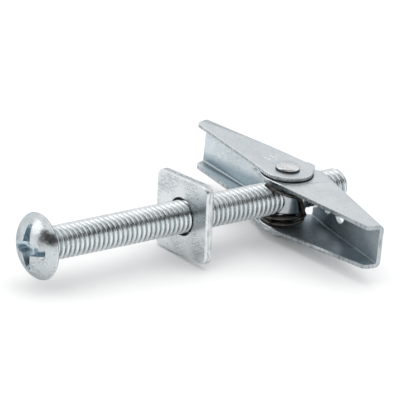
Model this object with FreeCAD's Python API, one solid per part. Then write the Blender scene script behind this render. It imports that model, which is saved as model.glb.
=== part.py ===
import FreeCAD, Part
import math
import os

V = FreeCAD.Vector

# Spring toggle bolt: pan head screw, loose square washer, trunnion nut,
# two folded sheet wings and two torsion springs. Millimetres.
# The origin is the centre of the face under the head, X runs to the thread end,
# Z is the axis on which the wings fold, Y runs to the outer wing.

# Screw
screw_length = 65.0
thread_radius = 2.95
tip_chamfer = 0.7
head_radius = 5.8
head_height = 2.8
head_side = 0.4
head_rim = 0.12
head_crown = (0.985, 0.93, 0.82, 0.62, 0.36)
recess_reach = 5.5
recess_width = 1.6
recess_depth = 2.2
recess_floor = 2.2
recess_core = 1.4
recess_turn = -6.0

# Washer
washer_side = 14.0
washer_thickness = 1.5
washer_corner = 1.5
washer_edge = 0.18
washer_hole = 3.3
washer_at = 30.0
washer_roll = -5.0

# Nut
pivot_x = 52.8
nut_bore_clearance = 0.05
barrel_radius = 3.9
barrel_half_height = 2.1
neck_radius = 2.8
trunnion_radius = 1.5
rivet_radius = 2.15
rivet_side = 0.35
rivet_crown = ((0.93, 0.48), (0.66, 0.8), (0.3, 0.94))
lower_rivet_play = 0.1

# Sheet of both wings
sheet = 0.75
bend_inside = 0.3
pivot_hole = 1.6
nest_gap = 0.1
shoulder_gap = 0.03

# Outer wing: levels of its flanges, direction, and the plan of each flange
outer_top = 4.95
outer_bottom = -6.25
outer_tip_top = 4.5
outer_tip_bottom = -4.1
outer_sweep = 6.9
outer_web = 5.85
outer_length = 25.1
outer_kink = 7.5
outer_tip_round = 1.5
outer_upper = {"ear": 4.45, "tip": 3.4, "waist": None, "start": 0.3, "corner": -1.4, "inset": 0.45}
outer_lower = {"ear": 3.75, "tip": 3.0, "waist": (15.0, 3.6), "start": 0.3, "corner": -1.4, "inset": 0.45}
outer_holes = ((12.4, 0.0, 0.8),)

# Inner wing
inner_tip_top = 3.65
inner_tip_bottom = -4.2
inner_sweep = 13.1
inner_web = 7.05
inner_length = 23.9
inner_kink = 5.0
inner_tip_round = 0.9
inner_upper = {"ear": 4.8, "tip": 3.2, "waist": None, "start": 0.3, "corner": 0.3, "inset": 0.7}
inner_lower = {"ear": 4.1, "tip": 3.1, "waist": None, "start": -1.0, "corner": -1.0, "inset": 0.9}
inner_holes = ((4.0, -0.6, 1.75), (9.0, -0.35, 1.75))

notch_radius = 3.15

# Springs
wire = 0.35
coil_radius = 3.5
coil_gap = 0.14
leg_length = 6.5
leg_angle = 120.0
coil_sweep = 535.0
coil_runs = 12

inner_top = outer_top - sheet - nest_gap
inner_bottom = outer_bottom + sheet + nest_gap


def save(shape, name):
    """Write one piece to its own STEP file."""
    shape.exportStep("parts/" + name + ".step")


def spun(edges, axis):
    """Solid of revolution of a closed outline about an axis through the origin."""
    body = Part.Face(Part.Wire(edges)).revolve(V(0, 0, 0), axis, 360)
    if body.Volume < 0:
        body.reverse()
    return Part.Solid(body) if body.ShapeType == "Shell" else body


def screw():
    """Pan head screw with a cross recess, thread drawn at its full diameter."""
    # Head outline: bearing face, rim, side, and the crown in flat rings
    outline = [(0, 0), (0, head_radius - head_rim), (-head_rim, head_radius), (-head_side, head_radius)]
    for share in head_crown:
        rise = 1 - share ** 2.7
        outline.append((-head_side - (head_height - head_side) * rise, head_radius * share))
    outline += [(-head_height, 0), (0, 0)]
    edges = [Part.makeLine(V(x, 0, z), V(u, 0, w)) for (x, z), (u, w) in zip(outline, outline[1:])]
    head = spun(edges, V(1, 0, 0))
    shank = Part.makeCylinder(thread_radius, screw_length - tip_chamfer, V(0, 0, 0), V(1, 0, 0))
    tip = Part.makeCone(thread_radius, thread_radius - tip_chamfer, tip_chamfer,
                        V(screw_length - tip_chamfer, 0, 0), V(1, 0, 0))
    body = head.fuse([shank, tip]).removeSplitter()
    # Cross recess: two tapering slots and a cone at the middle
    mouth = -head_height - 0.3
    floor = -head_height + recess_depth
    for angle in (recess_turn, recess_turn + 90):
        slot = tapered_slot(mouth, floor)
        slot.rotate(V(0, 0, 0), V(1, 0, 0), angle)
        body = body.cut(slot)
    cone = Part.makeCone(recess_core, recess_core * 0.5, floor + 0.2 - mouth,
                         V(mouth, 0, 0), V(1, 0, 0))
    return body.cut(cone)


def tapered_slot(mouth, floor):
    """One arm pair of the cross, long and wide at the mouth, short at the floor."""
    def ring(x, reach, half):
        return Part.makePolygon([V(x, -half, -reach), V(x, half, -reach),
                                 V(x, half, reach), V(x, -half, reach), V(x, -half, -reach)])
    return Part.makeLoft([ring(mouth, recess_reach, recess_width / 2),
                          ring(floor, recess_floor, recess_width / 2 - 0.12)], True, True)


def washer():
    """Square plate washer with a round hole, loose on the thread."""
    h = washer_side / 2
    plate = Part.makeBox(washer_thickness, washer_side, washer_side, V(0, -h, -h))
    long_edges = [e for e in plate.Edges if abs(e.BoundBox.XLength - washer_thickness) < 1e-6]
    plate = plate.makeFillet(washer_corner, long_edges)
    rim = [e for e in plate.Edges if e.BoundBox.XLength < 1e-6]
    plate = plate.makeChamfer(washer_edge, rim)
    hole = Part.makeCylinder(washer_hole, washer_thickness + 2, V(-1, 0, 0), V(1, 0, 0))
    plate = plate.cut(hole)
    plate.rotate(V(0, 0, 0), V(1, 0, 0), washer_roll)
    plate.translate(V(washer_at, 0, 0))
    return plate


def nut():
    """Trunnion nut: barrel across the screw, necks for the coils, riveted ends."""
    parts = []
    neck_top = inner_top - sheet - shoulder_gap
    neck_bottom = inner_bottom + sheet + shoulder_gap
    head_top = outer_top + 0.03
    head_bottom = outer_bottom - lower_rivet_play
    barrel = Part.makeCylinder(barrel_radius, 2 * barrel_half_height, V(0, 0, -barrel_half_height))
    barrel = barrel.makeChamfer(0.2, [e for e in barrel.Edges if e.BoundBox.ZLength < 1e-6])
    parts.append(Part.makeCylinder(neck_radius, neck_top - neck_bottom, V(0, 0, neck_bottom)))
    parts.append(Part.makeCylinder(trunnion_radius, head_top - head_bottom + 0.4, V(0, 0, head_bottom - 0.2)))
    for base, way in ((head_top, 1), (head_bottom, -1)):
        parts.append(rivet_head(base, way))
    body = barrel.fuse(parts)
    bore = Part.makeCylinder(thread_radius + nut_bore_clearance, 12, V(-6, 0, 0), V(1, 0, 0))
    body = body.cut(bore)
    body.translate(V(pivot_x, 0, 0))
    return body


def rivet_head(base, way):
    """Peened domed head standing on the flange, its crown in flat rings."""
    head = Part.makeCylinder(rivet_radius, rivet_side, V(0, 0, 0))
    low_radius, low = rivet_radius, rivet_side
    for share, high in rivet_crown:
        high_radius = rivet_radius * share
        head = head.fuse(Part.makeCone(low_radius, high_radius, high - low, V(0, 0, low)))
        low_radius, low = high_radius, high
    if way < 0:
        head.rotate(V(0, 0, 0), V(1, 0, 0), 180)
    head.translate(V(0, 0, base))
    return head


def channel_section(u, top, bottom, reach):
    """Closed outline of the folded sheet at distance u along the wing."""
    r = sheet + bend_inside
    k = math.sqrt(0.5)

    def p(v, w):
        return V(u, v, w)

    def bend(centre_w, way, radius):
        return Part.Arc(p(r, centre_w + way * radius),
                        p(r - radius * k, centre_w + way * radius * k),
                        p(r - radius, centre_w)).toShape()

    upper = top - r
    lower = bottom + r
    outside = [
        Part.makeLine(p(reach, top), p(r, top)),
        bend(upper, 1, r),
        Part.makeLine(p(0, upper), p(0, lower)),
        bend(lower, -1, r),
        Part.makeLine(p(r, bottom), p(reach, bottom)),
    ]
    inside = [
        Part.makeLine(p(reach, bottom), p(reach, bottom + sheet)),
        Part.makeLine(p(reach, bottom + sheet), p(r, bottom + sheet)),
        bend(lower, -1, bend_inside),
        Part.makeLine(p(sheet, lower), p(sheet, upper)),
        bend(upper, 1, bend_inside),
        Part.makeLine(p(r, top - sheet), p(reach, top - sheet)),
        Part.makeLine(p(reach, top - sheet), p(reach, top)),
    ]
    return Part.Wire(Part.__sortEdges__(outside + inside))


def touch_angle(centre, radius, point, way):
    """Angle in degrees at which a line from the point touches the circle."""
    dx, dy = point[0] - centre[0], point[1] - centre[1]
    return math.degrees(math.atan2(dy, dx)) + way * math.degrees(math.acos(radius / math.hypot(dx, dy)))


def flange_blank(length, web, tip_round, flange, low):
    """Block with the plan shape of a flange: straight web side, round ear, rounded tip.

    u runs along the wing from the pivot, v from the outside of the web to the free edge.
    start is where the web begins, corner and inset place the corner of the ear beside it,
    and waist is a point that the free edge passes between the tip and the ear."""
    ear, tip_width, waist = flange["ear"], flange["tip"], flange["waist"]
    start, corner, inset = flange["start"], flange["corner"], flange["inset"]

    def on_ear(degrees):
        a = math.radians(degrees)
        return V(ear * math.cos(a), web + ear * math.sin(a), 0)

    first = touch_angle((0.0, web), ear, waist or (length, tip_width), 1)
    last = touch_angle((0.0, web), ear, (corner, inset), -1)
    if last < first:
        last += 360
    outline = [V(length, -0.2, 0), V(length, tip_width, 0)]
    if waist:
        outline.append(V(waist[0], waist[1], 0))
    outline.append(on_ear(first))
    edges = [Part.makeLine(p, q) for p, q in zip(outline, outline[1:])]
    edges.append(Part.Arc(on_ear(first), on_ear((first + last) / 2), on_ear(last)).toShape())
    outline = [on_ear(last), V(corner, inset, 0)]
    if corner < start - 0.01:
        outline.append(V(start, inset, 0))
    outline += [V(start, -0.2, 0), V(length, -0.2, 0)]
    edges += [Part.makeLine(p, q) for p, q in zip(outline, outline[1:])]
    block = Part.Face(Part.Wire(edges)).extrude(V(0, 0, 12))
    free_corner = [e for e in block.Edges if e.BoundBox.XLength < 1e-6 and e.BoundBox.YLength < 1e-6
                   and abs(e.BoundBox.XMin - length) < 1e-6 and abs(e.BoundBox.YMin - tip_width) < 1e-6]
    block = block.makeFillet(tip_round, free_corner)
    block.translate(V(0, 0, low))
    return block


def wing(levels, kink, sweep, web, length, tip_round, upper, lower, holes, side):
    """One folded sheet wing, open, with its pivot on the Z axis.

    upper and lower hold the plan values of the two flanges."""
    top, bottom, tip_top, tip_bottom = levels
    reach = web + max(upper["ear"], lower["ear"]) + 1
    begin = min(upper["start"], lower["start"])
    rows = [channel_section(begin, top, bottom, reach),
            channel_section(kink, top, bottom, reach),
            channel_section(length + 0.5, tip_top, tip_bottom, reach)]
    body = Part.makeLoft(rows, True, True)
    for low in (bottom, top - sheet):
        body = body.fuse(Part.makeBox(begin + reach, reach, sheet, V(-reach, 0, low)))
    blanks = [flange_blank(length, web, tip_round, flange, low) for flange, low in ((upper, 0), (lower, -12))]
    body = body.common(blanks[0].fuse(blanks[1]))
    # Pivot holes through both flanges
    body = body.cut(Part.makeCylinder(pivot_hole, 24, V(0, web, -12)))
    # Round holes in the web
    for at, height, radius in holes:
        body = body.cut(Part.makeCylinder(radius, 3, V(at, -1, height), V(0, 1, 0)))
    # Into place: u to the wing direction, v towards the head
    place = FreeCAD.Matrix()
    place.A11, place.A12, place.A13, place.A14 = 0, -1, 0, web
    place.A21, place.A22, place.A23, place.A24 = 1, 0, 0, 0
    body = body.transformed(place)
    body.rotate(V(0, 0, 0), V(0, 0, 1), sweep)
    if side < 0:
        body = body.mirror(V(0, 0, 0), V(0, 1, 0))
    # Room for the screw in the end of the web
    notch = Part.makeCylinder(notch_radius, 8, V(3, 0, 0), V(1, 0, 0))
    body = body.cut(notch)
    body = body.removeSplitter()
    body.translate(V(pivot_x, 0, 0))
    return body


def spring():
    """Torsion spring of one wire: leg to the outer web, turns, riser, hook at the inner flange.

    The bends are short straight runs with mitred corners."""
    low = inner_bottom + sheet + wire + 0.03
    high = -thread_radius - wire - coil_gap
    turns = []
    for step in range(coil_runs + 1):
        degrees = leg_angle + step * coil_sweep / coil_runs
        a = math.radians(degrees)
        turned = (degrees - leg_angle) / 360
        lift = max(0.0, min(1.0, (turned - 0.25) / 0.7))
        front = max(0.0, math.sin(math.radians(degrees - 540))) if degrees > 540 else 0.0
        z = low + (high - low) * lift + 0.5 * front
        turns.append(V(coil_radius * math.cos(a), coil_radius * math.sin(a), z))
    way = V(math.sin(math.radians(leg_angle)), -math.cos(math.radians(leg_angle)), 0)
    clear = barrel_radius + wire + 0.12
    top = inner_top - sheet
    riser = [V(1.6, -3.9, -2.6), V(0.95, -4.25, -1.7), V(0.3, -clear, 0.1), V(-0.7, -clear, 1.3),
             V(-2.4, -clear * 0.95, 1.8), V(-3.7, -3.2, top - 1.05), V(-4.8, -1.95, top - 0.5),
             V(-5.45, -0.9, top - 0.06)]
    points = [turns[0] + way * leg_length] + turns + riser
    path = Part.makePolygon(points)
    start = (points[1] - points[0]).normalize()
    profile = Part.Wire([Part.makeCircle(wire, points[0], start)])
    body = path.makePipeShell([profile], True, False, 1)
    body.translate(V(pivot_x, 0, 0))
    return body


os.makedirs("parts", exist_ok=True)

save(screw(), "toggle_screw")
save(washer(), "square_washer")
save(nut(), "trunnion_nut")
save(wing((outer_top, outer_bottom, outer_tip_top, outer_tip_bottom), outer_kink, outer_sweep, outer_web,
          outer_length, outer_tip_round, outer_upper, outer_lower, outer_holes, 1), "outer_wing")
save(wing((inner_top, inner_bottom, inner_tip_top, inner_tip_bottom), inner_kink, inner_sweep, inner_web,
          inner_length, inner_tip_round, inner_upper, inner_lower, inner_holes, -1), "inner_wing")
save(spring(), "fold_spring")
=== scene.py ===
import math
import bpy
import bmesh
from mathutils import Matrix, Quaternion, Vector


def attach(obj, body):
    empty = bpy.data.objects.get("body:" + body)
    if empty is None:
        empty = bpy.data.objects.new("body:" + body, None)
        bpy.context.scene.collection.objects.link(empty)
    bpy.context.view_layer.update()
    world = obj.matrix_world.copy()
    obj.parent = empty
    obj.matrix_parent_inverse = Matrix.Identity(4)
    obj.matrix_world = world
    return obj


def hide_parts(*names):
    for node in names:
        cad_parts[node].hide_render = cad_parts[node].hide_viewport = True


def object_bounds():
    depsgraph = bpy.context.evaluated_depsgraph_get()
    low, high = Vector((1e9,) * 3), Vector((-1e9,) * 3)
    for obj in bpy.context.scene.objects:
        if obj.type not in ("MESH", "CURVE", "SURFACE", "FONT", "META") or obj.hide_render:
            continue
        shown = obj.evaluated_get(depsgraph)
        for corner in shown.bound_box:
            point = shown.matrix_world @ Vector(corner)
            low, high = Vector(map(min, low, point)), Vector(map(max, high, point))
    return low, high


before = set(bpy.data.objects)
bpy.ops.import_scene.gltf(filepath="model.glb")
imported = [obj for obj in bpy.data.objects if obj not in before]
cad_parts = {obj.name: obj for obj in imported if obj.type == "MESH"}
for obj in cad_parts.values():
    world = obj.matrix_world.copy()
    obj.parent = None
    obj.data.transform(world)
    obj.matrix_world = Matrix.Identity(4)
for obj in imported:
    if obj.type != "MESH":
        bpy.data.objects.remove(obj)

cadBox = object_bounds()
mm = 0.001
pivotX = 52.8  # where the wings' axis crosses the screw, in mm from the seat of the head
print("frame loaded")


# small helpers

def newTree(name, kind):
    return bpy.data.node_groups.new(name, kind)


def addNode(tree, kind, inputs=None, **settings):
    node = tree.nodes.new(kind)
    for key, value in settings.items():
        setattr(node, key, value)
    for key, value in (inputs or {}).items():
        if isinstance(value, bpy.types.NodeSocket):
            tree.links.new(value, node.inputs[key])
        else:
            node.inputs[key].default_value = value
    return node


def mathNode(tree, operation, a, b=0.0, c=None, clamp=False):
    inputs = {0: a, 1: b}
    if c is not None:
        inputs[2] = c
    return addNode(tree, "ShaderNodeMath", inputs, operation=operation, use_clamp=clamp).outputs[0]


def radiusNode(tree, a, b):
    # distance from an axis, from the two coordinates across it
    square = mathNode(tree, "ADD", mathNode(tree, "MULTIPLY", a, a), mathNode(tree, "MULTIPLY", b, b))
    return mathNode(tree, "SQRT", square)


def mapRange(tree, value, low=0.0, high=1.0, toLow=0.0, toHigh=1.0):
    # one range brought to another and held at both ends
    inputs = {"Value": value, "From Min": low, "From Max": high, "To Min": toLow, "To Max": toHigh}
    return addNode(tree, "ShaderNodeMapRange", inputs).outputs[0]


def noiseNode(tree, vector, scale, detail, **more):
    inputs = {"Vector": vector, "Scale": scale, "Detail": detail, **more}
    return addNode(tree, "ShaderNodeTexNoise", inputs).outputs[0]


def mixValues(tree, factor, first, second):
    inputs = {"Factor": factor, 2: first, 3: second}
    return addNode(tree, "ShaderNodeMix", inputs, data_type="FLOAT").outputs[0]


def mixColors(tree, factor, first, second):
    # each colour is a socket or three numbers
    inputs = {"Factor": factor}
    for key, color in ((6, first), (7, second)):
        inputs[key] = color if isinstance(color, bpy.types.NodeSocket) else (*color, 1)
    return addNode(tree, "ShaderNodeMix", inputs, data_type="RGBA").outputs[2]


def groupNode(tree, group, inputs):
    return addNode(tree, "ShaderNodeGroup", inputs, node_tree=group).outputs


def addSocket(tree, name, kind, value=None, low=None, high=None, inOut="INPUT"):
    socket = tree.interface.new_socket(name, in_out=inOut, socket_type=kind)
    if value is not None:
        socket.default_value = value
    if low is not None:
        socket.min_value = low
    if high is not None:
        socket.max_value = high
    return socket


def meshObject(name, points, faces, material, smooth=True):
    mesh = bpy.data.meshes.new(name)
    mesh.from_pydata([Vector(p) for p in points], [], faces)
    mesh.materials.append(material)
    mesh.polygons.foreach_set("use_smooth", [smooth] * len(mesh.polygons))
    mesh.update()
    obj = bpy.data.objects.new(name, mesh)
    bpy.context.scene.collection.objects.link(obj)
    return obj


def ringFaces(rings, count):
    # quads between neighbouring rings of count points each
    faces = []
    for first in range(0, (rings - 1) * count, count):
        for i in range(count):
            j = (i + 1) % count
            faces.append((first + i, first + j, first + count + j, first + count + i))
    return faces


def bakedMesh(obj):
    # the modifiers' result becomes the object's own plain mesh
    depsgraph = bpy.context.evaluated_depsgraph_get()
    mesh = bpy.data.meshes.new_from_object(obj.evaluated_get(depsgraph))
    obj.modifiers.clear()
    obj.data = mesh
    return obj


def endTree(tree, geometry, finish, end):
    # every shape tree ends smooth, real and with its finish
    smooth = addNode(tree, "GeometryNodeSetShadeSmooth", {"Geometry": geometry})
    real = addNode(tree, "GeometryNodeRealizeInstances", {"Geometry": smooth.outputs[0]})
    coated = addNode(tree, "GeometryNodeSetMaterial", {"Geometry": real.outputs[0], "Material": finish})
    tree.links.new(coated.outputs[0], end.inputs[0])


def nodesPiece(name, tree, values, start=None):
    # a Geometry Nodes tree run on a start mesh, with its named inputs set, then made plain
    mesh = start or bpy.data.meshes.new(name)
    obj = bpy.data.objects.new(name, mesh)
    bpy.context.scene.collection.objects.link(obj)
    modifier = obj.modifiers.new("shape", "NODES")
    modifier.node_group = tree
    identifiers = {item.name: item.identifier for item in tree.interface.items_tree
                   if item.item_type == "SOCKET" and item.in_out == "INPUT"}
    for key, value in values.items():
        modifier[identifiers[key]] = value
    return bakedMesh(obj)


def settle(obj, body, slotName, *cadNodes):
    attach(obj, body)
    if cadNodes:
        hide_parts(*cadNodes)
    return obj


# shader groups that several finishes share

def newEffect(name, inputs, outputs):
    # an empty group on Object coordinates with its named inputs and outputs
    tree = newTree(name, "ShaderNodeTree")
    addSocket(tree, "Vector", "NodeSocketVector")
    for key, value in inputs.items():
        addSocket(tree, key, "NodeSocketFloat", value)
    for key in outputs:
        addSocket(tree, key, "NodeSocketFloat", inOut="OUTPUT")
    return tree, addNode(tree, "NodeGroupInput").outputs, addNode(tree, "NodeGroupOutput").inputs


def buildMottle():
    # cloudy tone of the plating at two scales, 0 to 1
    tree, start, end = newEffect("platingMottle", {"Cloud Scale": 400.0, "Speckle Scale": 3500.0,
                                                   "Speckle Share": 0.4}, ("Tone", "Height"))
    cloud = noiseNode(tree, start["Vector"], start["Cloud Scale"], 4.0, Roughness=0.6)
    speckle = noiseNode(tree, start["Vector"], start["Speckle Scale"], 3.0, Roughness=0.7)
    mixed = mixValues(tree, start["Speckle Share"], cloud, speckle)
    tree.links.new(mapRange(tree, mixed, 0.3, 0.7), end["Tone"])
    tree.links.new(speckle, end["Height"])
    return tree


def buildScratches():
    # thin straight handling marks in five directions, 1 on a scratch
    tree, start, end = newEffect("handlingScratches", {"Along": 230.0, "Across": 5600.0, "Amount": 0.5},
                                 ("Mask",))
    total = None
    for turn, axis in ((0.55, "X"), (-0.7, "X"), (-0.9, "Y"), (1.9, "Z"), (0.6, "Z")):
        turned = addNode(tree, "ShaderNodeVectorRotate", {"Vector": start["Vector"], "Angle": turn},
                         rotation_type=axis + "_AXIS")
        stretch = addNode(tree, "ShaderNodeCombineXYZ",
                          {"X": start["Across"], "Y": start["Along"], "Z": start["Across"]})
        scaled = addNode(tree, "ShaderNodeVectorMath", {0: turned.outputs[0], 1: stretch.outputs[0]},
                         operation="MULTIPLY")
        sharp = mapRange(tree, noiseNode(tree, scaled.outputs[0], 1.0, 0.0), 0.61, 0.68)
        total = sharp if total is None else mathNode(tree, "MAXIMUM", total, sharp)
    where = mapRange(tree, noiseNode(tree, start["Vector"], 260.0, 1.0), 0.38, 0.58)
    kept = mathNode(tree, "MULTIPLY", total, where)
    tree.links.new(mathNode(tree, "MULTIPLY", kept, start["Amount"]), end["Mask"])
    return tree


def buildFlecks():
    # small warm flecks in the plating
    tree, start, end = newEffect("warmFlecks", {"Scale": 2600.0, "Amount": 0.3}, ("Mask",))
    grain = noiseNode(tree, start["Vector"], start["Scale"], 2.0)
    tree.links.new(mapRange(tree, grain, 0.62, 0.75, 0.0, start["Amount"]), end["Mask"])
    return tree


def buildPits():
    # single dark specks, one near the middle of each cell
    tree, start, end = newEffect("smallPits", {"Scale": 900.0, "Amount": 0.35}, ("Mask",))
    cells = addNode(tree, "ShaderNodeTexVoronoi", {"Vector": start["Vector"], "Scale": start["Scale"],
                                                   "Randomness": 1.0})
    tree.links.new(mapRange(tree, cells.outputs["Distance"], 0.05, 0.16, start["Amount"], 0.0), end["Mask"])
    return tree


def buildHeights():
    # soft waves and speckles of the surface, lower along the scratches
    tree, start, end = newEffect("platingHeight", {"Wave Scale": 700.0, "Speckles": 0.5, "Scratches": 0.0},
                                 ("Height",))
    wave = noiseNode(tree, start["Vector"], start["Wave Scale"], 1.0)
    heights = mixValues(tree, 0.25, wave, start["Speckles"])
    tree.links.new(mathNode(tree, "MULTIPLY_ADD", start["Scratches"], -0.3, heights), end["Height"])
    return tree


def buildShearMarks():
    # short marks across the cut thickness of the sheet
    tree, start, end = newEffect("shearMarks", {"Amount": 0.7}, ("Mask",))
    scaled = addNode(tree, "ShaderNodeVectorMath", {0: start["Vector"], 1: (2600.0, 2600.0, 500.0)},
                     operation="MULTIPLY")
    marks = noiseNode(tree, scaled.outputs[0], 1.0, 2.0)
    tree.links.new(mapRange(tree, marks, 0.45, 0.62, 0.0, start["Amount"]), end["Mask"])
    return tree


mottleGroup = buildMottle()
scratchGroup = buildScratches()
fleckGroup = buildFlecks()
pitGroup = buildPits()
heightGroup = buildHeights()
shearGroup = buildShearMarks()


# zinc finishes

def platedMetal(name, look):
    # bluish clear zinc on steel: two tones, warm flecks, scratches, pits and a fine bump
    material = bpy.data.materials.new(name)
    material.use_nodes = True
    tree = material.node_tree
    tree.nodes.clear()
    place = addNode(tree, "ShaderNodeTexCoord").outputs["Object"]
    mottle = groupNode(tree, mottleGroup, {"Vector": place, "Cloud Scale": look["Cloud Scale"],
                                           "Speckle Scale": look["Speckle Scale"],
                                           "Speckle Share": look["Speckle Share"]})
    scratch = groupNode(tree, scratchGroup, {"Vector": place, "Amount": look["Scratches"]})[0]
    fleck = groupNode(tree, fleckGroup, {"Vector": place, "Scale": look["fleckScale"],
                                         "Amount": look["flecks"]})[0]
    pit = groupNode(tree, pitGroup, {"Vector": place, "Scale": look["pitScale"], "Amount": look["pits"]})[0]
    height = groupNode(tree, heightGroup, {"Vector": place, "Wave Scale": look["waveScale"],
                                           "Speckles": mottle["Height"], "Scratches": scratch})[0]
    tone = mixColors(tree, mottle["Tone"], look["dark"], look["light"])
    warmed = mixColors(tree, fleck, tone, look["fleck"])
    scratched = mixColors(tree, scratch, warmed, look["scratch"])
    pitted = mixColors(tree, pit, scratched, look["scratch"])
    rough = mapRange(tree, mottle["Tone"], toLow=look["rough"][0], toHigh=look["rough"][1])
    bump = addNode(tree, "ShaderNodeBump", {"Height": height, "Strength": look["bump"],
                                            "Distance": look["bumpDepth"]})
    shader = addNode(tree, "ShaderNodeBsdfPrincipled", {"Base Color": pitted, "Roughness": rough,
                                                        "Normal": bump.outputs[0]})
    shader.inputs["Metallic"].default_value = 1.0
    shader.inputs["Specular Tint"].default_value = (*look["grazing"], 1)
    output = addNode(tree, "ShaderNodeOutputMaterial")
    tree.links.new(shader.outputs[0], output.inputs[0])
    return material


def surfaceOf(material):
    # a plated finish's tree, its colour input and its Object coordinates
    tree = material.node_tree
    shader = next(node for node in tree.nodes if node.type == "BSDF_PRINCIPLED")
    place = next(node for node in tree.nodes if node.type == "TEX_COORD").outputs["Object"]
    return tree, shader.inputs["Base Color"], place


def layColor(tree, surface, mask, color):
    # a colour over the finish where the mask is 1
    before = surface.links[0].from_socket
    tree.links.new(mixColors(tree, mask, before, color), surface)


def shadedMetal(name, look):
    # sheet painted darker towards its lower bend, a painted reflection of the flange below
    material = platedMetal(name, look)
    tree, surface, place = surfaceOf(material)
    # the painted reflection: the low colour laid over the lower part of the sheet
    height = addNode(tree, "ShaderNodeSeparateXYZ", {0: place}).outputs[2]
    low = mapRange(tree, height, look["shadeBelow"] * mm, look["clearAbove"] * mm, look["shade"], 0.0)
    layColor(tree, surface, low, look["low"])
    return material


def threadedMetal(name, look):
    # roots of the thread painted darker and bluer than its crests, partly dirt in the roots and partly
    # painted shade; the root colour is painted darker on faces turned down and lighter on faces turned up,
    # as painted shade and painted light
    material = platedMetal(name, look)
    tree, surface, place = surfaceOf(material)
    split = addNode(tree, "ShaderNodeSeparateXYZ", {0: place}).outputs
    radius = radiusNode(tree, split[1], split[2])
    depth = mapRange(tree, radius, look["rootRadius"] * mm, look["crestRadius"] * mm)
    normal = addNode(tree, "ShaderNodeTexCoord").outputs["Normal"]
    facing = addNode(tree, "ShaderNodeSeparateXYZ", {0: normal}).outputs[2]
    # painted shade and light: root colour darker where the surface faces down, lighter where it faces up
    root = mixColors(tree, mapRange(tree, facing, -0.45, 0.6), look["rootShadedBelow"], look["rootLitAbove"])
    before = surface.links[0].from_socket
    tree.links.new(mixColors(tree, depth, root, before), surface)
    return material


def shearedMetal(name, look):
    # cut face of the sheet
    material = platedMetal(name, look)
    tree, surface, place = surfaceOf(material)
    layColor(tree, surface, groupNode(tree, shearGroup, {"Vector": place})[0], look["mark"])
    return material


def pivotShadowMetal(name, look):
    # sheet with a painted contact shadow: a dark line round the pivot, under the edge of the other wing's
    # ear
    material = platedMetal(name, look)
    tree, surface, place = surfaceOf(material)
    offset = addNode(tree, "ShaderNodeVectorMath", {0: place, 1: (-pivotX * mm, 0, 0)}, operation="ADD")
    split = addNode(tree, "ShaderNodeSeparateXYZ", {0: offset.outputs[0]}).outputs
    beyond = mathNode(tree, "SUBTRACT", radiusNode(tree, split[0], split[1]), look["shadowLineRadius"] * mm)
    away = mathNode(tree, "ABSOLUTE", beyond)
    # painted shadow line: full near its radius, fading out at its width
    line = mapRange(tree, away, look["shadowLineWidth"] * 0.4 * mm, look["shadowLineWidth"] * mm, look["shadowLineShare"], 0.0)
    layColor(tree, surface, line, look["line"])
    return material


def scuffedMetal(name, look):
    # sheet with bright flecks rubbed into one small place
    material = platedMetal(name, look)
    tree, surface, place = surfaceOf(material)
    spot = tuple(value * mm for value in look["scuffAt"])
    away = addNode(tree, "ShaderNodeVectorMath", {0: place, 1: spot}, operation="DISTANCE").outputs["Value"]
    near = mapRange(tree, away, look["scuffRadius"] * 0.5 * mm, look["scuffRadius"] * mm, 1.0, 0.0)
    fleck = mapRange(tree, noiseNode(tree, place, 1500.0, 1.0), 0.55, 0.62)
    layColor(tree, surface, mathNode(tree, "MULTIPLY", near, fleck), look["scuff"])
    return material


plating = {
    "Cloud Scale": 420.0, "Speckle Scale": 3800.0, "Speckle Share": 0.45, "Scratches": 0.25,
    "dark": (0.43, 0.475, 0.505), "light": (0.6, 0.635, 0.655), "fleck": (0.47, 0.45, 0.43),
    "fleckScale": 2600.0, "flecks": 0.3, "scratch": (0.3, 0.33, 0.35), "rough": (0.16, 0.26),
    "waveScale": 700.0, "pits": 0.35, "pitScale": 900.0, "bump": 0.22, "bumpDepth": 0.00005,
    "grazing": (0.62, 0.66, 0.69)}
foldedLook = dict(plating, **{"Cloud Scale": 150.0, "Speckle Share": 0.3, "waveScale": 180.0})
outsideLook = dict(plating, **{
    "Cloud Scale": 240.0, "Speckle Share": 0.5, "Scratches": 0.3, "rough": (0.3, 0.42), "waveScale": 180.0,
    "dark": (0.66, 0.695, 0.715), "light": (0.79, 0.815, 0.83), "scratch": (0.5, 0.53, 0.55), "bump": 0.3,
    "pits": 0.6, "pitScale": 500.0})

headZinc = platedMetal("headZinc", dict(plating, **{
    "Scratches": 0.5, "dark": (0.46, 0.505, 0.53), "light": (0.72, 0.75, 0.76),
    "scratch": (0.16, 0.18, 0.19), "rough": (0.16, 0.3), "pits": 0.8, "pitScale": 750.0, "waveScale": 900.0,
    "bump": 0.9}))
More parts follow.
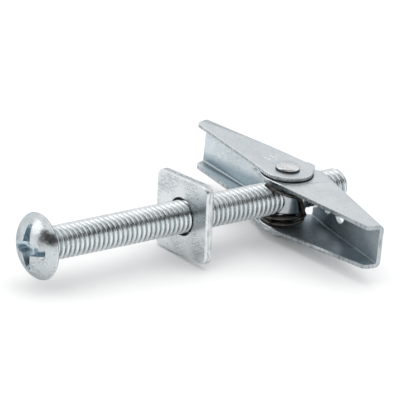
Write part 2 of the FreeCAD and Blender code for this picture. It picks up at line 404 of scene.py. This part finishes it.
# finishes inside the channels, painted darker than the outsides as painted shade; the first also darkens
# towards the lower bend as a painted reflection
insideShadeZinc = shadedMetal("insideShadeZinc", dict(foldedLook, **{
    "Scratches": 0.35, "rough": (0.2, 0.34), "dark": (0.46, 0.53, 0.57), "light": (0.64, 0.7, 0.73),
    "bump": 0.2, "low": (0.26, 0.33, 0.37), "shade": 0.85, "shadeBelow": -2.7, "clearAbove": -1.4}))
lowerShadeZinc = platedMetal("lowerShadeZinc", dict(foldedLook, **{
    "Scratches": 0.3, "rough": (0.22, 0.34), "dark": (0.25, 0.315, 0.345), "light": (0.38, 0.44, 0.47),
    "bump": 0.2}))
channelShadeZinc = platedMetal("channelShadeZinc", dict(foldedLook, **{
    "Scratches": 0.45, "rough": (0.36, 0.48), "dark": (0.46, 0.54, 0.585), "light": (0.64, 0.71, 0.745),
    "bump": 0.3}))
washerZinc = platedMetal("washerZinc", dict(plating, **{
    "Cloud Scale": 190.0, "Scratches": 0.6, "rough": (0.2, 0.36), "waveScale": 150.0,
    "dark": (0.6, 0.64, 0.66), "light": (0.75, 0.78, 0.795), "scratch": (0.24, 0.27, 0.29), "pits": 0.7,
    "pitScale": 700.0, "bump": 0.35}))
# broken edges and the crown's edge ring painted lighter, as a painted highlight
edgeHighlightZinc = platedMetal("edgeHighlightZinc", dict(plating, **{
    "dark": (0.66, 0.69, 0.7), "light": (0.84, 0.86, 0.87), "Scratches": 0.1, "rough": (0.22, 0.32)}))
nutZinc = platedMetal("nutZinc", dict(plating, **{
    "dark": (0.36, 0.39, 0.42), "light": (0.56, 0.59, 0.61), "Scratches": 0.3, "rough": (0.14, 0.26)}))
shadeZinc = platedMetal("shadeZinc", dict(plating, **{
    "dark": (0.05, 0.056, 0.06), "light": (0.11, 0.12, 0.125), "rough": (0.35, 0.5)}))
# thread: roots painted darker and bluer, partly dirt and partly painted shade, darker still on the underside
# as painted shade
threadZinc = threadedMetal("threadZinc", dict(plating, **{
    "dark": (0.68, 0.71, 0.72), "light": (0.88, 0.895, 0.9), "rootShadedBelow": (0.13, 0.2, 0.24),
    "rootLitAbove": (0.6, 0.67, 0.7), "rootRadius": 2.46, "crestRadius": 2.86, "rough": (0.22, 0.32),
    "bump": 0.2, "pits": 0.2}))
# rivet domes painted much lighter than the nut, as a painted highlight
domeHighlightZinc = platedMetal("domeHighlightZinc", dict(plating, **{
    "dark": (0.6, 0.62, 0.63), "light": (0.92, 0.92, 0.92), "Cloud Scale": 800.0, "Scratches": 0.3,
    "rough": (0.16, 0.28), "bump": 1.0, "bumpDepth": 0.0001}))
scuffedZinc = scuffedMetal("scuffedZinc", dict(outsideLook, **{
    "scuffAt": (53.6, 5.6, 4.9), "scuffRadius": 1.9, "scuff": (0.96, 0.97, 0.97)}))
# outer faces of the inner wing, with the painted shadow line round the pivot
pivotZinc = pivotShadowMetal("pivotZinc", dict(outsideLook, **{
    "shadowLineRadius": 4.42, "shadowLineWidth": 0.34, "shadowLineShare": 0.92, "line": (0.03, 0.035, 0.04)}))
cutZinc = shearedMetal("cutZinc", dict(plating, **{
    "dark": (0.38, 0.42, 0.44), "light": (0.56, 0.6, 0.62), "mark": (0.24, 0.27, 0.29),
    "rough": (0.3, 0.45)}))
sideZinc = shearedMetal("sideZinc", dict(plating, **{
    "dark": (0.62, 0.65, 0.66), "light": (0.82, 0.84, 0.85), "mark": (0.3, 0.34, 0.36),
    "rough": (0.25, 0.4)}))
# side band of the head, painted dark as a painted reflection
rimDarkReflectionZinc = platedMetal("rimDarkReflectionZinc", dict(plating, **{
    "dark": (0.24, 0.27, 0.29), "light": (0.42, 0.45, 0.47), "Scratches": 0.6, "rough": (0.2, 0.32),
    "pits": 0.6}))
# cross recess painted darker and bluer as painted shade
recessShadeZinc = platedMetal("recessShadeZinc", dict(plating, **{
    "dark": (0.36, 0.45, 0.5), "light": (0.66, 0.74, 0.78), "Scratches": 0.3, "rough": (0.14, 0.26),
    "pits": 0.5, "bump": 0.6}))


# dark spring wire

wireLook = {"Cloud Scale": 900.0, "Speckle Scale": 5200.0, "dark": (0.018, 0.016, 0.015),
            "light": (0.17, 0.15, 0.135), "rough": (0.16, 0.3), "bump": 0.2, "bumpDepth": 0.00004}


def springSteel(look):
    material = bpy.data.materials.new("springSteel")
    material.use_nodes = True
    tree = material.node_tree
    tree.nodes.clear()
    place = addNode(tree, "ShaderNodeTexCoord").outputs["Object"]
    mottle = groupNode(tree, mottleGroup, {"Vector": place, "Cloud Scale": look["Cloud Scale"],
                                           "Speckle Scale": look["Speckle Scale"]})
    tone = mixColors(tree, mottle["Tone"], look["dark"], look["light"])
    rough = mapRange(tree, mottle["Tone"], toLow=look["rough"][0], toHigh=look["rough"][1])
    bump = addNode(tree, "ShaderNodeBump", {"Height": mottle["Height"], "Strength": look["bump"],
                                            "Distance": look["bumpDepth"]})
    shader = addNode(tree, "ShaderNodeBsdfPrincipled", {"Base Color": tone, "Roughness": rough,
                                                        "Normal": bump.outputs[0]})
    shader.inputs["Metallic"].default_value = 0.9
    output = addNode(tree, "ShaderNodeOutputMaterial")
    tree.links.new(shader.outputs[0], output.inputs[0])
    return material


wireSteel = springSteel(wireLook)
print("finishes built")


# thread of the screw

thread = {"Pitch": 1.0 * mm, "Crest Radius": 2.95 * mm, "Depth": 0.56 * mm, "Length": 65.0 * mm,
          "Start": -0.4 * mm, "Chamfer": 0.7 * mm, "Steps": 56, "Turn Phase": 0.0, "Crest Roundness": 2.0}


def buildThread():
    # one strip of profile points wound along the helix; neighbouring turns are merged
    tree = newTree("rolledThread", "GeometryNodeTree")
    for name, value in thread.items():
        if name != "Steps":
            addSocket(tree, name, "NodeSocketFloat", value)
    addSocket(tree, "Steps", "NodeSocketInt", thread["Steps"], 12, 128)
    addSocket(tree, "Finish", "NodeSocketMaterial")
    addSocket(tree, "Geometry", "NodeSocketGeometry", inOut="OUTPUT")
    start = addNode(tree, "NodeGroupInput").outputs
    end = addNode(tree, "NodeGroupOutput")
    span = mathNode(tree, "SUBTRACT", start["Length"], start["Start"])
    whole = mathNode(tree, "CEIL", mathNode(tree, "DIVIDE", span, start["Pitch"]))
    turns = mathNode(tree, "ADD", whole, 3.0)
    rows = mathNode(tree, "MULTIPLY", turns, start["Steps"])
    grid = addNode(tree, "GeometryNodeMeshGrid", {"Size X": 1.0, "Size Y": 1.0, "Vertices X": 11,
                                                  "Vertices Y": mathNode(tree, "ADD", rows, 1.0)})
    position = addNode(tree, "GeometryNodeInputPosition").outputs[0]
    split = addNode(tree, "ShaderNodeSeparateXYZ", {0: position}).outputs
    across = mathNode(tree, "ADD", split[0], 0.5)
    wound = mathNode(tree, "MULTIPLY", mathNode(tree, "ADD", split[1], 0.5), turns)
    placed = mathNode(tree, "SUBTRACT", mathNode(tree, "ADD", wound, across), 1.5)
    shifted = mathNode(tree, "ADD", placed, start["Turn Phase"])
    along = mathNode(tree, "ADD", mathNode(tree, "MULTIPLY", shifted, start["Pitch"]), start["Start"])
    held = mathNode(tree, "MINIMUM", mathNode(tree, "MAXIMUM", along, start["Start"]), start["Length"])
    centred = mathNode(tree, "MULTIPLY_ADD", across, 2.0, -1.0)
    rise = mathNode(tree, "SUBTRACT", 1.0, mathNode(tree, "ABSOLUTE", centred))
    fall = mapRange(tree, rise, 1.0, 0.08)
    flank = mathNode(tree, "SUBTRACT", 1.0, mathNode(tree, "POWER", fall, start["Crest Roundness"]))
    root = mathNode(tree, "SUBTRACT", start["Crest Radius"], start["Depth"])
    free = mathNode(tree, "ADD", mathNode(tree, "MULTIPLY", flank, start["Depth"]), root)
    tip = mathNode(tree, "SUBTRACT", start["Crest Radius"], start["Chamfer"])
    cone = mathNode(tree, "ADD", tip, mathNode(tree, "SUBTRACT", start["Length"], held))
    radius = mathNode(tree, "MINIMUM", free, cone)
    angle = mathNode(tree, "MULTIPLY", wound, math.tau)
    spot = addNode(tree, "ShaderNodeCombineXYZ", {
        0: held, 1: mathNode(tree, "MULTIPLY", radius, mathNode(tree, "COSINE", angle)),
        2: mathNode(tree, "MULTIPLY", radius, mathNode(tree, "SINE", angle))})
    strip = addNode(tree, "GeometryNodeSetPosition", {"Geometry": grid.outputs[0],
                                                      "Position": spot.outputs[0]})
    ends = addNode(tree, "GeometryNodeJoinGeometry")
    for place, size in ((start["Length"], tip), (start["Start"], root)):
        disc = addNode(tree, "GeometryNodeMeshCircle", {"Vertices": start["Steps"], "Radius": size},
                       fill_type="TRIANGLE_FAN")
        moved = addNode(tree, "GeometryNodeTransform", {
            "Geometry": disc.outputs[0], "Rotation": (0, math.radians(90), 0),
            "Translation": addNode(tree, "ShaderNodeCombineXYZ", {0: place}).outputs[0]})
        tree.links.new(moved.outputs[0], ends.inputs[0])
    tree.links.new(strip.outputs[0], ends.inputs[0])
    merged = addNode(tree, "GeometryNodeMergeByDistance", {"Geometry": ends.outputs[0],
                                                           "Distance": 0.002 * mm})
    endTree(tree, merged.outputs[0], start["Finish"], end)
    return tree


def tidyNormals(obj, limit=None):
    # merged doubles, outward faces, and sharp edges past the limit angle
    mesh = obj.data
    shape = bmesh.new()
    shape.from_mesh(mesh)
    bmesh.ops.remove_doubles(shape, verts=shape.verts, dist=0.0005 * mm)
    bmesh.ops.recalc_face_normals(shape, faces=shape.faces)
    for edge in shape.edges:
        edge.smooth = limit is None or edge.calc_face_angle(0.0) < limit
    shape.to_mesh(mesh)
    shape.free()
    return obj


screwThread = nodesPiece("screwThread", buildThread(), dict(thread, Finish=threadZinc))
tidyNormals(screwThread)
settle(screwThread, "screw", "zinc_screw", "toggle_screw")
print("thread:", len(screwThread.data.polygons), "faces")


# head with its cross recess, lofted in rings from the rim to the middle of the recess

head = {"radius": 5.8, "height": 2.8, "side": 0.4, "rim": 0.12, "bearing": 0.0, "turn": -6.0,
        "armReach": 4.15, "armHalf": 1.22, "armTaper": 0.62, "cornerRound": 0.35, "depth": 2.2,
        "rimRound": 0.09, "steps": 256, "loops": {"dark": 4, "bright": 5, "mouth": 21},
        "crownShares": (0.995, 0.985, 0.97, 0.95, 0.925, 0.895, 0.86, 0.825, 0.79, 0.76),
        "towardsMouth": (0.25, 0.5, 0.75, 0.9), "lips": ((0.6, 0.015), (0.25, 0.04), (0.0, 0.1)),
        "recessRings": ((0.86, 0.9, 0.55), (0.7, 0.78, 0.86), (0.6, 0.7, 0.94), (0.5, 0.6, 0.97))}
sharpAngle = math.radians(40)  # past it the shading of turned and lofted pieces breaks


def crownHeight(r):
    # dome over the side: nearly flat in the middle, round towards the rim
    share = min(1.0, r / head["radius"])
    rounding = max(0.0, share - 0.88) / 0.12
    return head["side"] + (head["height"] - head["side"]) * (1 - share ** 2.7) - 0.22 * rounding ** 2


def crossReach(angle, reach, half, softness):
    # distance from the middle to the outline of a cross with slightly tapered arms
    turned = abs((angle + math.pi / 4) % (math.pi / 2) - math.pi / 4)
    side = half / max(1e-4, math.sin(turned) + half * head["armTaper"] * math.cos(turned) / reach)
    gap = abs(side - reach)
    return min(side, reach) - max(0.0, softness - gap) ** 2 / (4 * softness)


def buildHead():
    count = head["steps"]
    angles = [i / count * math.tau + math.radians(head["turn"]) for i in range(count)]
    rings = []

    def ring(radii, heights):
        rings.append([(-high * mm, radius * math.sin(a) * -mm, radius * math.cos(a) * mm)
                      for radius, high, a in zip(radii, heights, angles)])

    def circle(radius, height):
        ring([radius] * count, [height] * count)

    circle(2.0, 0.0)
    circle(head["radius"] - head["rim"], head["bearing"])
    circle(head["radius"] - 0.05, 0.04)
    circle(head["radius"], head["rim"])
    for share in head["crownShares"]:
        circle(head["radius"] * share, crownHeight(head["radius"] * share))
    turn = math.radians(head["turn"])
    mouth = [crossReach(a - turn, head["armReach"], head["armHalf"], head["cornerRound"]) for a in angles]
    outer = head["radius"] * head["crownShares"][-1]
    for share in head["towardsMouth"]:
        radii = [outer + (m + head["rimRound"] - outer) * share for m in mouth]
        ring(radii, [crownHeight(r) for r in radii])
    radii = [m + head["rimRound"] for m in mouth]
    ring(radii, [crownHeight(r) for r in radii])
    for share, drop in head["lips"]:
        radii = [m + head["rimRound"] * share for m in mouth]
        ring(radii, [crownHeight(r) - drop for r in radii])
    for reachShare, halfShare, depthShare in head["recessRings"]:
        radii = [crossReach(a - turn, head["armReach"] * reachShare, head["armHalf"] * halfShare, 0.25)
                 for a in angles]
        ring(radii, [crownHeight(0.0) - head["depth"] * depthShare] * count)
    circle(0.35, crownHeight(0.0) - head["depth"] * 0.98)
    points = [p for loop in rings for p in loop]
    faces = ringFaces(len(rings), count)
    for k, x in ((0, 0.0), (len(rings) - 1, -(crownHeight(0.0) - head["depth"]))):
        middle = len(points)
        points.append((x * mm, 0.0, 0.0))
        faces += [(k * count + i, k * count + (i + 1) % count, middle) for i in range(count)]
    obj = meshObject("screwHead", points, faces, headZinc)
    for finish in (rimDarkReflectionZinc, edgeHighlightZinc, recessShadeZinc):
        obj.data.materials.append(finish)
    # painted light on the head: the side band gets the dark rim finish, a painted dark reflection; the ring
    # at the crown's edge the edge finish, a painted highlight; the recess the recess finish, painted shade
    loops = head["loops"]
    for index, face in enumerate(obj.data.polygons):
        loop = index // count
        if 0 < loop < loops["dark"]:
            face.material_index = 1
        elif loops["dark"] <= loop < loops["bright"]:
            face.material_index = 2
        elif loop >= loops["mouth"] and index < (len(rings) - 1) * count or index >= len(rings) * count:
            face.material_index = 3
    return obj


screwHead = tidyNormals(buildHead(), sharpAngle)
settle(screwHead, "screw", "zinc_screw", "toggle_screw")
print("head built")


# sheet and turned pieces: merged copies of the CAD solids with broken edges

breaking = {"sharp": 35.0, "room": 1.6, "flat": 1.0, "flatWeight": 90}  # degrees, widths, degrees, per cent


def dressedCopy(nodeName, name, edge, finishes, finishOf=None):
    # edge: width in mm and steps of the broken edges
    # finishes: faces, broken edges, then those that finishOf picks by centre (mm), normal and extent (mm)
    width, segments = edge
    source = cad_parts[nodeName]
    mesh = source.data.copy()
    mesh.materials.clear()
    for finish in finishes:
        mesh.materials.append(finish)
    obj = bpy.data.objects.new(name, mesh)
    bpy.context.scene.collection.objects.link(obj)
    shape = bmesh.new()
    shape.from_mesh(mesh)
    bmesh.ops.remove_doubles(shape, verts=shape.verts, dist=0.001 * mm)
    bmesh.ops.dissolve_limit(shape, angle_limit=math.radians(breaking["flat"]), verts=shape.verts,
                             edges=shape.edges)
    for face in shape.faces:
        corners = [vert.co / mm for vert in face.verts]
        extent = Vector([max(c[i] for c in corners) - min(c[i] for c in corners) for i in range(3)])
        centre = face.calc_center_median() / mm
        face.material_index = finishOf(centre, face.normal, extent) if finishOf else 0
        face.smooth = True
    # edges are broken where they are sharp and nothing beside them is shorter than the break
    weights = shape.edges.layers.float.new("bevel_weight_edge")
    for line in shape.edges:
        beside = min(other.calc_length() for vert in line.verts for other in vert.link_edges)
        sharp = line.is_manifold and line.calc_face_angle() > math.radians(breaking["sharp"])
        line[weights] = 1.0 if sharp and beside > breaking["room"] * width * mm else 0.0
        line.smooth = not sharp or line[weights] > 0
    shape.to_mesh(mesh)
    shape.free()
    bevel = obj.modifiers.new("brokenEdges", "BEVEL")
    bevel.width = width * mm
    bevel.segments = segments
    bevel.limit_method = "WEIGHT"
    bevel.use_clamp_overlap = False
    # broken edges take the second finish; in every caller with more than one, the lighter edge finish, a
    # painted highlight
    if len(finishes) > 1:
        bevel.material = 1
    flatFaces = obj.modifiers.new("flatFaces", "WEIGHTED_NORMAL")
    flatFaces.weight = breaking["flatWeight"]
    flatFaces.keep_sharp = True
    return bakedMesh(obj)


def wingFinish(centre, normal, extent):
    # 2 inside the channel, 3 on the sheared edges, 4 on the lower flange's inner face, 0 outside; the
    # finishes at 2 and 4 are painted darker as painted shade inside the channel
    if abs(normal.z) > 0.8:
        if normal.z * centre.z > 0 or extent.z > 2:
            return 0
        return 4 if centre.z < 0 else 2
    if abs(normal.z) < 0.15 and (0.6 < extent.z < 3 or abs(normal.y) > 0.8 and abs(centre.y) > 15):
        return 3
    return 2 if normal.x < -0.3 and centre.x > pivotX + 0.5 else 0


def washerFinish(centre, normal, extent):
    # 2 on the cut sides, 3 in the hole, which is painted dark as painted shade
    if abs(normal.x) > 0.3:
        return 0
    return 3 if math.hypot(centre.y, centre.z) < 4 else 2


# the washer's punched hole narrows to the back
washer = {"edge": (0.1, 3), "front": 30.0, "thickness": 1.5, "taper": 0.3, "reach": 3.5, "wall": 3.45}
squareWasher = dressedCopy("square_washer", "squareWasher", washer["edge"],
                           [washerZinc, edgeHighlightZinc, sideZinc, shadeZinc], washerFinish)
for vert in squareWasher.data.vertices:
    radius = math.hypot(vert.co.y, vert.co.z) / mm
    if radius < washer["reach"]:
        share = (vert.co.x / mm - washer["front"]) / washer["thickness"]
        vert.co.yz = vert.co.yz * (radius - washer["taper"] * share) / radius
# hole wall painted near black as painted shade
for face in squareWasher.data.polygons:
    corners = [squareWasher.data.vertices[i].co for i in face.vertices]
    if max(math.hypot(co.y, co.z) for co in corners) < washer["wall"] * mm:
        face.material_index = 3
settle(squareWasher, "washer", "zinc_sheet", "square_washer")

wings = {"outerEdge": (0.12, 2), "innerEdge": (0.13, 2)}
outerWing = dressedCopy("outer_wing", "outerWing", wings["outerEdge"],
                        [scuffedZinc, edgeHighlightZinc, insideShadeZinc, cutZinc, lowerShadeZinc], wingFinish)
settle(outerWing, "outer", "zinc_sheet", "outer_wing")

innerWing = dressedCopy("inner_wing", "innerWing", wings["innerEdge"],
                        [pivotZinc, edgeHighlightZinc, channelShadeZinc, cutZinc, channelShadeZinc], wingFinish)
settle(innerWing, "inner", "zinc_sheet", "inner_wing")

# nut: its riveted ends are cut off the copy and turned again as smooth domes
rivet = {"radius": 2.15, "side": 0.3, "height": 0.95, "above": 4.98, "below": -6.35, "steps": 72,
         "nutEdge": (0.06, 3), "crownSteps": 12, "slack": 0.002}


def openNut():
    obj = dressedCopy("trunnion_nut", "trunnionNut", rivet["nutEdge"], [nutZinc])
    shape = bmesh.new()
    shape.from_mesh(obj.data)
    lowest, highest = (rivet["below"] - rivet["slack"]) * mm, (rivet["above"] + rivet["slack"]) * mm
    loose = [face for face in shape.faces if not lowest < face.calc_center_median().z < highest]
    bmesh.ops.delete(shape, geom=loose, context="FACES")
    rims = [edge for edge in shape.edges if edge.is_boundary]
    bmesh.ops.holes_fill(shape, edges=rims, sides=0)
    shape.to_mesh(obj.data)
    shape.free()
    return obj


def buildDome(base, way):
    # lathe from the middle of the base round the side and over the crown
    size, side = rivet["radius"], rivet["side"]
    rows = [(0.0, 0.0), (size - 0.08, 0.0), (size - 0.02, 0.04), (size, 0.12), (size, side)]
    for step in range(1, rivet["crownSteps"] + 1):
        angle = step / rivet["crownSteps"] * math.pi / 2
        rows.append((size * math.cos(angle) ** 0.8,
                     side + (rivet["height"] - side) * math.sin(angle) ** 0.85))
    count = rivet["steps"]
    points = []
    for radius, high in rows:
        for i in range(count):
            a = i / count * math.tau
            points.append(((pivotX + radius * math.cos(a)) * mm, radius * math.sin(a) * mm,
                           (base + way * high) * mm))
    obj = meshObject("rivetDome", points, ringFaces(len(rows), count), domeHighlightZinc)
    obj.data.materials.append(shadeZinc)
    # side of the dome painted near black as a painted contact shadow
    for face in obj.data.polygons:
        if abs(face.center.z / mm - base) < side * 0.8:
            face.material_index = 1
    return tidyNormals(obj, sharpAngle)


trunnionNut = openNut()
settle(trunnionNut, "nut", "zinc_screw", "trunnion_nut")
for name, base, way in (("upperRivet", rivet["above"], 1), ("lowerRivet", rivet["below"], -1)):
    dome = buildDome(base, way)
    dome.name = name
    settle(dome, "nut", "zinc_screw", "trunnion_nut")
print("washer, wings and nut dressed")


# torsion spring

wire = {"Wire Radius": 0.35 * mm, "Sides": 16, "Bend Steps": 10}
springPath = {"coilRadius": 3.5, "lowTurn": -4.27, "highTurn": -3.44, "legAngle": 120.0, "sweep": 535.0,
              "legLength": 6.5, "legShares": (1.0, 0.6, 0.25), "runs": 24, "frontLift": 0.5, "clear": 4.37,
              "flange": 3.35}


def springPoints():
    # from the end of the lower leg over the turns to the hook at the flange, in metres
    s = springPath
    turns = []
    for step in range(s["runs"] + 1):
        degrees = s["legAngle"] + step * s["sweep"] / s["runs"]
        a = math.radians(degrees)
        turned = (degrees - s["legAngle"]) / 360
        lift = max(0.0, min(1.0, (turned - 0.25) / 0.7))
        front = max(0.0, math.sin(math.radians(degrees - 540))) if degrees > 540 else 0.0
        z = s["lowTurn"] + (s["highTurn"] - s["lowTurn"]) * lift + s["frontLift"] * front
        turns.append(Vector((s["coilRadius"] * math.cos(a), s["coilRadius"] * math.sin(a), z)))
    legWay = Vector((math.sin(math.radians(s["legAngle"])), -math.cos(math.radians(s["legAngle"])), 0))
    leg = [turns[0] + legWay * (s["legLength"] * share) for share in s["legShares"]]
    c, f = s["clear"], s["flange"]
    riser = [Vector(p) for p in ((1.6, -3.9, -2.6), (0.95, -4.25, -1.7), (0.3, -c, 0.1), (-0.7, -c, 1.3),
                                 (-2.4, -c * 0.95, 1.8), (-3.7, -3.2, f - 1.05), (-4.8, -1.95, f - 0.5),
                                 (-5.45, -0.9, f - 0.06))]
    return [(p + Vector((pivotX, 0, 0))) * mm for p in leg + turns + riser]


def buildWire():
    # a round wire with closed ends along the path
    tree = newTree("roundWire", "GeometryNodeTree")
    addSocket(tree, "Path", "NodeSocketGeometry")
    addSocket(tree, "Wire Radius", "NodeSocketFloat", wire["Wire Radius"])
    addSocket(tree, "Sides", "NodeSocketInt", wire["Sides"], 8, 48)
    addSocket(tree, "Bend Steps", "NodeSocketInt", wire["Bend Steps"], 1, 32)
    addSocket(tree, "Finish", "NodeSocketMaterial")
    addSocket(tree, "Geometry", "NodeSocketGeometry", inOut="OUTPUT")
    start = addNode(tree, "NodeGroupInput").outputs
    end = addNode(tree, "NodeGroupOutput")
    line = addNode(tree, "GeometryNodeMeshToCurve", {0: start["Path"]})
    kind = addNode(tree, "GeometryNodeCurveSplineType", {"Curve": line.outputs[0]},
                   spline_type="CATMULL_ROM")
    fine = addNode(tree, "GeometryNodeSetSplineResolution", {"Geometry": kind.outputs[0],
                                                             "Resolution": start["Bend Steps"]})
    ring = addNode(tree, "GeometryNodeCurvePrimitiveCircle", {"Resolution": start["Sides"],
                                                              "Radius": start["Wire Radius"]})
    tube = addNode(tree, "GeometryNodeCurveToMesh", {"Curve": fine.outputs[0],
                                                     "Profile Curve": ring.outputs[0], "Fill Caps": True})
    endTree(tree, tube.outputs[0], start["Finish"], end)
    return tree


pathPoints = springPoints()
pathMesh = bpy.data.meshes.new("springPath")
pathMesh.from_pydata(pathPoints, [(i, i + 1) for i in range(len(pathPoints) - 1)], [])
foldSpring = nodesPiece("foldSpring", buildWire(), dict(wire, Finish=wireSteel), pathMesh)
tidyNormals(foldSpring, math.radians(50))
settle(foldSpring, "nut", "spring_wire", "fold_spring")
print("spring wound")


# camera, floor and studio light

shot = {"aim": (41.73, 9.51, -2.63), "distance": 829.0, "azimuth": -129.775, "elevation": 22.088,
        "roll": 5.76, "lens": 428.67}
aim = Vector(shot["aim"]) * mm
around, above = math.radians(shot["azimuth"]), math.radians(shot["elevation"])
back = Vector((math.cos(around) * math.cos(above), math.sin(around) * math.cos(above), math.sin(above)))
camera = bpy.data.objects.new("camera", bpy.data.cameras.new("camera"))
bpy.context.scene.collection.objects.link(camera)
camera.data.lens = shot["lens"]
camera.data.clip_start = 0.01
camera.data.clip_end = 20.0
camera.location = aim + back * shot["distance"] * mm
camera.rotation_mode = "QUATERNION"
roll = Quaternion((0, 0, 1), math.radians(shot["roll"]))
camera.rotation_quaternion = (-back).to_track_quat("-Z", "Y") @ roll
bpy.context.scene.camera = camera

studio = {"floorColors": ((0.93, 0.93, 0.93), (0.94, 0.94, 0.94)), "floorHalf": 3.0, "worldStrength": 1.0,
          "fillStrength": 0.95}


def lookedAt(tree):
    # 1 for camera, glossy and transmission rays
    path = addNode(tree, "ShaderNodeLightPath").outputs
    seen = mathNode(tree, "ADD", path["Is Camera Ray"], path["Is Glossy Ray"])
    return mathNode(tree, "ADD", seen, path["Is Transmission Ray"], clamp=True)


def buildFloor():
    material = bpy.data.materials.new("paleFloor")
    material.use_nodes = True
    tree = material.node_tree
    shader = next(node for node in tree.nodes if node.type == "BSDF_PRINCIPLED")
    grain = noiseNode(tree, addNode(tree, "ShaderNodeTexCoord").outputs["Object"], 40.0, 2.0)
    tree.links.new(mixColors(tree, grain, *studio["floorColors"]), shader.inputs["Base Color"])
    shader.inputs["Roughness"].default_value = 0.9
    half, z = studio["floorHalf"], cadBox[0].z
    floor = meshObject("floor", [(-half, -half, z), (half, -half, z), (half, half, z), (-half, half, z)],
                       [(0, 1, 2, 3)], material, False)


def buildWorld():
    world = bpy.data.worlds.new("studio")
    bpy.context.scene.world = world
    world.use_nodes = True
    tree = world.node_tree
    tree.nodes.clear()
    white, fill = (addNode(tree, "ShaderNodeBackground", {"Color": (1, 1, 1, 1), "Strength": studio[key]})
                   for key in ("worldStrength", "fillStrength"))
    mix = addNode(tree, "ShaderNodeMixShader", {0: lookedAt(tree), 1: fill.outputs[0], 2: white.outputs[0]})
    output = addNode(tree, "ShaderNodeOutputWorld")
    tree.links.new(mix.outputs[0], output.inputs[0])


def areaLamp(name, place, size, watts, target=(40.0, 0.0, 0.0)):
    data = bpy.data.lights.new(name, "AREA")
    data.shape = "RECTANGLE"
    data.size, data.size_y = size
    data.energy = watts
    lamp = bpy.data.objects.new(name, data)
    bpy.context.scene.collection.objects.link(lamp)
    lamp.location = Vector(place)
    lamp.rotation_mode = "QUATERNION"
    lamp.rotation_quaternion = (Vector(target) * mm - lamp.location).to_track_quat("-Z", "Y")
    return lamp


buildFloor()
buildWorld()
areaLamp("topSoftbox", (0.1, 0.15, 0.8), (1.1, 1.1), 2.8).visible_glossy = False
areaLamp("leftSoftbox", (-0.6, 0.45, 0.4), (0.4, 0.4), 0.5)

# a dark curved card round the camera, seen only in the metal
card = {"radius": 0.78, "from": -192.0, "to": -50.0, "low": (4.0, 10.0, 22.0, 23.0),
        "high": (39.0, 47.0, 52.0, 50.0), "steps": 24}


def buildCard():
    material = bpy.data.materials.new("darkCard")
    material.use_nodes = True
    shader = next(node for node in material.node_tree.nodes if node.type == "BSDF_PRINCIPLED")
    shader.inputs["Base Color"].default_value = (0.02, 0.02, 0.022, 1)
    shader.inputs["Roughness"].default_value = 1.0
    points = []
    spans = len(card["low"]) - 1
    for step in range(card["steps"] + 1):
        share = step / card["steps"]
        turn = math.radians(card["from"] + (card["to"] - card["from"]) * share)
        spot = min(spans - 1, int(share * spans))
        for edge in (card["low"], card["high"]):
            lift = math.radians(edge[spot] + (edge[spot + 1] - edge[spot]) * (share * spans - spot))
            points.append((card["radius"] * math.cos(turn) * math.cos(lift),
                           card["radius"] * math.sin(turn) * math.cos(lift),
                           card["radius"] * math.sin(lift)))
    faces = [(2 * i, 2 * i + 2, 2 * i + 3, 2 * i + 1) for i in range(card["steps"])]
    obj = meshObject("darkCard", points, faces, material, False)
    obj.visible_camera = False
    obj.visible_shadow = False
    obj.visible_diffuse = False


buildCard()

bpy.context.scene.view_settings.view_transform = "Standard"
